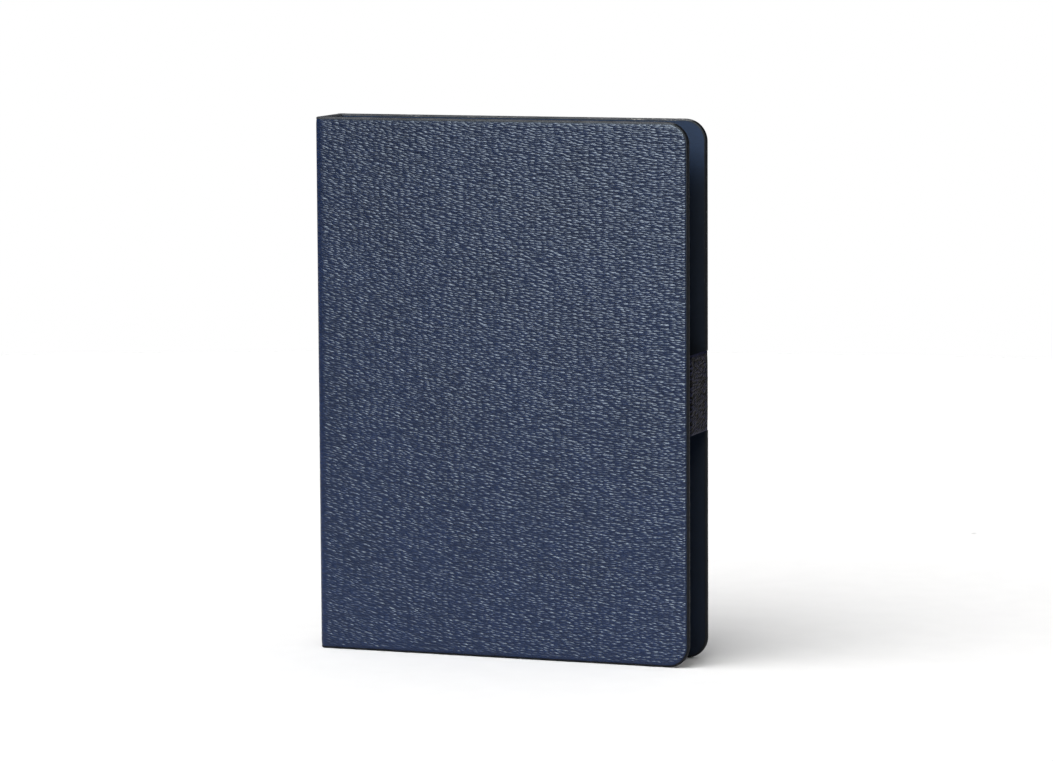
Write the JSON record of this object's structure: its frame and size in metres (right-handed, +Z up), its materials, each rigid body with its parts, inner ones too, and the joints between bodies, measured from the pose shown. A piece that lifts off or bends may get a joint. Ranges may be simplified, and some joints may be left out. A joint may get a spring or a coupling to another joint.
{
  "type": "pilot logbook",
  "caption": "Upright leather ring-bound logbook case with painted edges, hinged covers, a tuck-in magnet strap and punched log leaves on a lever-operated ring mechanism.",
  "frame": {"origin": "under the middle of the closed case, on the surface it stands on", "axes": "+Z up, +X from the spine to the fore-edge, the front cover's outer face looks towards -Y"},
  "size_m": [0.168, 0.028, 0.23],
  "materials": {
    "navy_leather": "pebble-grained, semi-matt",
    "grey_board": "plain",
    "navy_lining": "smooth satin",
    "edge_paint": "satin painted edge",
    "strap_leather": "fine-grained, matt",
    "nickel_steel": "nickel-plated, polished",
    "rivet_steel": "plated",
    "plain_steel": "plain",
    "magnet": "nickel-plated",
    "log_paper": "uncoated, printed with ruled lines",
    "flyleaf_card": "smooth card"
  },
  "bodies": {
    "spine": {"spine_leather": "navy_leather", "spine_board": "grey_board", "spine_lining": "navy_lining", "front_fold_leather": "navy_leather", "back_fold_leather": "navy_leather", "spine_edge_paint": "edge_paint", "mechanism_shell": "nickel_steel", "lever_pins": "rivet_steel", "mounting_rivets": "rivet_steel"},
    "front_cover": {"front_leather": "navy_leather", "front_board": "grey_board", "front_lining": "navy_lining", "front_edge_paint": "edge_paint", "front_striker_plate": "plain_steel"},
    "back_cover": {"back_leather": "navy_leather", "back_board": "grey_board", "back_lining": "navy_lining", "back_edge_paint": "edge_paint", "strap_anchor": "strap_leather"},
    "strap": {"strap_panel": "strap_leather"},
    "tongue": {"strap_tongue": "strap_leather", "tongue_facing": "navy_lining", "tongue_magnet": "magnet"},
    "front_ring_side": {"front_ring_halves": "nickel_steel", "front_blade": "nickel_steel"},
    "rear_ring_side": {"rear_ring_halves": "nickel_steel", "rear_blade": "nickel_steel"},
    "top_lever": {"top_lever": "nickel_steel"},
    "bottom_lever": {"bottom_lever": "nickel_steel"},
    "front_leaves": {"front_flyleaf": "flyleaf_card", "front_log_leaves": "log_paper"},
    "rear_leaves": {"rear_flyleaf": "flyleaf_card", "rear_log_leaves": "log_paper"}
  },
  "joints": [
    {"name": "front_cover_hinge", "type": "hinge", "parent": "spine", "child": "front_cover", "pos_m": [-0.0828, -0.0128, 0.115], "axis": [0, 0, -1], "range_deg": [0, 90]},
    {"name": "back_cover_hinge", "type": "hinge", "parent": "spine", "child": "back_cover", "pos_m": [-0.0828, 0.0128, 0.115], "axis": [0, 0, 1], "range_deg": [0, 90]},
    {"name": "strap_swing", "type": "hinge", "parent": "back_cover", "child": "strap", "pos_m": [0.0834, 0.0108, 0.115], "axis": [0, 0, 1], "range_deg": [0, 90]},
    {"name": "tongue_unfold", "type": "hinge", "parent": "strap", "child": "tongue", "pos_m": [0.0834, -0.0098, 0.115], "axis": [0, 0, 1], "range_deg": [0, 81]},
    {"name": "front_leaves_turn", "type": "hinge", "parent": "spine", "child": "front_leaves", "pos_m": [-0.0727, 0, 0.115], "axis": [0, 0, -1], "range_deg": [0, 90]},
    {"name": "rear_leaves_turn", "type": "hinge", "parent": "spine", "child": "rear_leaves", "pos_m": [-0.0727, 0, 0.115], "axis": [0, 0, 1], "range_deg": [0, 90]},
    {"name": "front_ring_open", "type": "hinge", "parent": "spine", "child": "front_ring_side", "pos_m": [-0.0794, -0.0068, 0.115], "axis": [0, 0, -1], "range_deg": [0, 12]},
    {"name": "rear_ring_open", "type": "hinge", "parent": "spine", "child": "rear_ring_side", "pos_m": [-0.0794, 0.0068, 0.115], "axis": [0, 0, 1], "range_deg": [0, 12]},
    {"name": "top_lever_press", "type": "hinge", "parent": "spine", "child": "top_lever", "pos_m": [-0.0794, 0, 0.2162], "axis": [0, -1, 0], "range_deg": [0, 16.01]},
    {"name": "bottom_lever_press", "type": "hinge", "parent": "spine", "child": "bottom_lever", "pos_m": [-0.0794, 0, 0.0138], "axis": [0, 1, 0], "range_deg": [0, 16.01]}
  ],
  "couplings": [
    {"joint": "strap_swing", "follows": "front_cover_hinge", "ratio": 1},
    {"joint": "tongue_unfold", "follows": "front_cover_hinge", "ratio": 0.9},
    {"joint": "front_leaves_turn", "follows": "front_cover_hinge", "ratio": 1},
    {"joint": "rear_leaves_turn", "follows": "back_cover_hinge", "ratio": 1},
    {"joint": "rear_ring_open", "follows": "front_ring_open", "ratio": 1},
    {"joint": "top_lever_press", "follows": "front_ring_open", "ratio": 1.3333},
    {"joint": "bottom_lever_press", "follows": "front_ring_open", "ratio": 1.3333}
  ]
}
